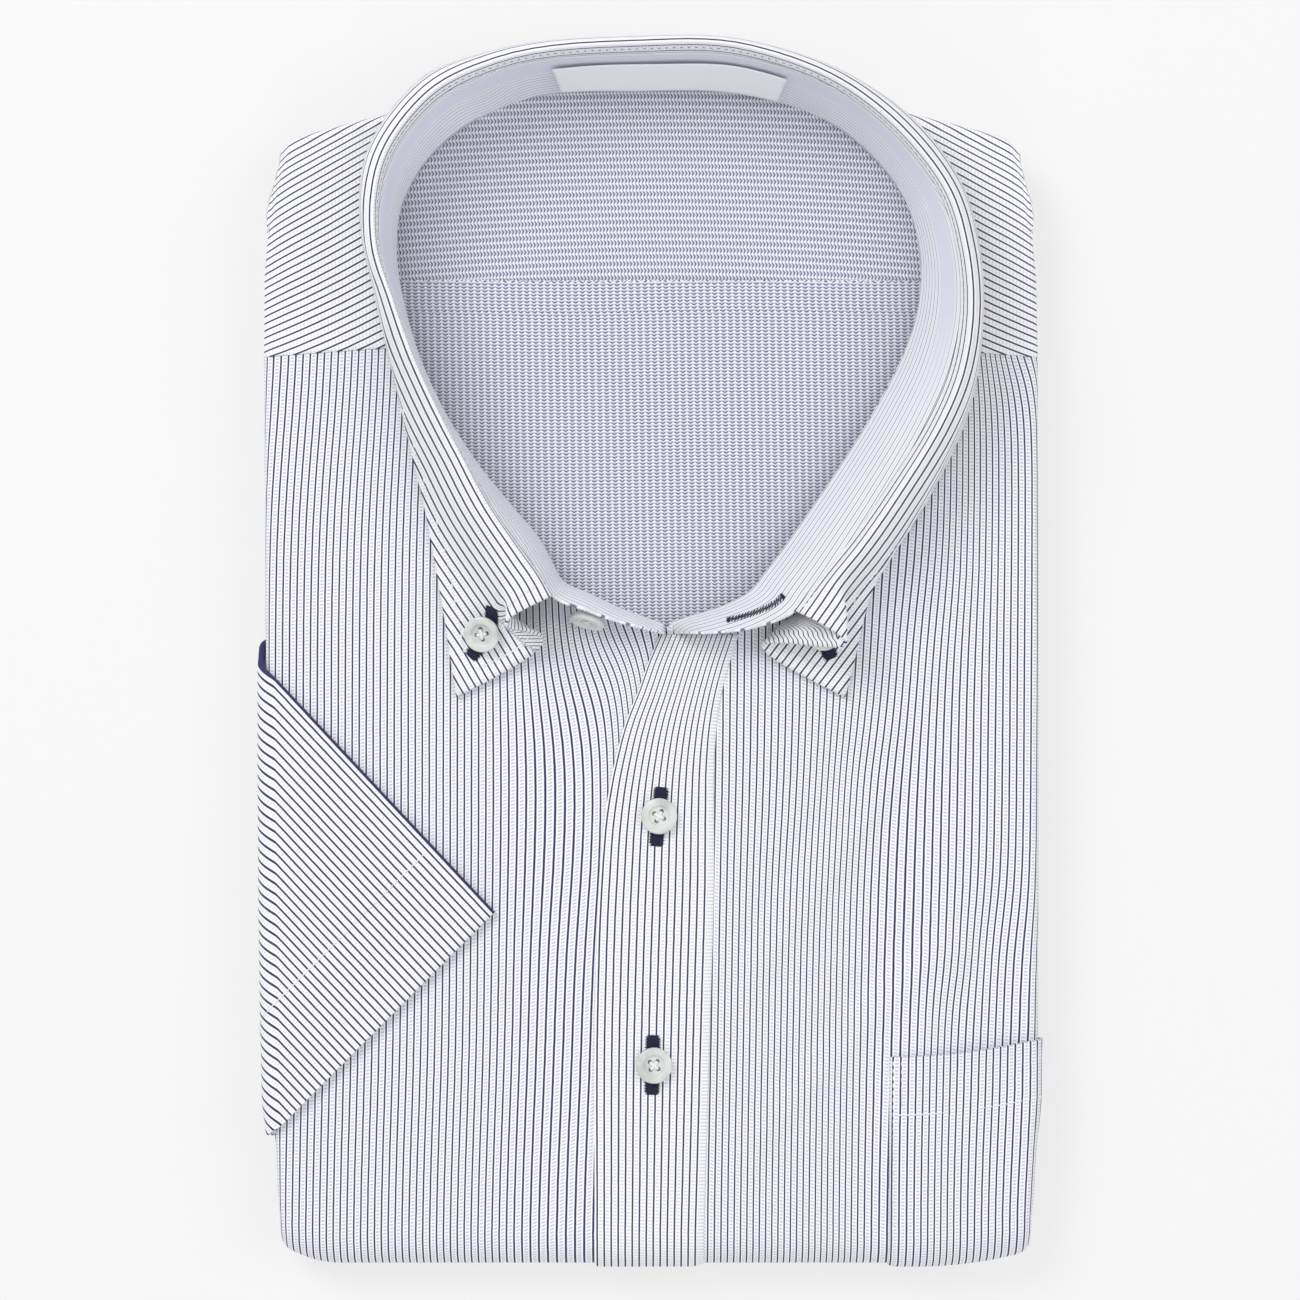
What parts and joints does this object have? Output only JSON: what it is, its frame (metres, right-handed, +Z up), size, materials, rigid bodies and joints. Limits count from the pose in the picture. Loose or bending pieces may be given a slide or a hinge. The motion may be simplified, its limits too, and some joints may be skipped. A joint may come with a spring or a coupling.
{
  "type": "folded dress shirt",
  "caption": "Short-sleeved button-down dress shirt in a fine stripe, folded flat and lying face up, with its collar standing open.",
  "frame": {"origin": "centre of the part's bounding box, on the surface it lies on", "axes": "+X to the wearer's left, which is the right of the shirt seen from above; +Y from the bottom fold to the collar; +Z up"},
  "size_m": [0.2498, 0.3908, 0.0541],
  "materials": {
    "shirt_cloth": "matt knitted cotton blend with fine navy stripes on white",
    "inside_cloth": "inner side of the same cloth, soft lavender",
    "label_satin": "bare white satin",
    "button_resin": "pearly white resin"
  },
  "bodies": {
    "root": {"folded_layers": "shirt_cloth", "front_right": "shirt_cloth", "front_left": "shirt_cloth", "placket": "shirt_cloth", "pocket": "shirt_cloth", "yoke": "shirt_cloth", "sleeve_right": "shirt_cloth", "collar_stand": "shirt_cloth", "collar_leaf": "shirt_cloth", "back": "inside_cloth", "neck_label": "label_satin", "button_front_1": "button_resin", "button_front_2": "button_resin", "button_collar_right": "button_resin", "button_collar_left": "button_resin", "button_neck": "button_resin"}
  },
  "joints": []
}
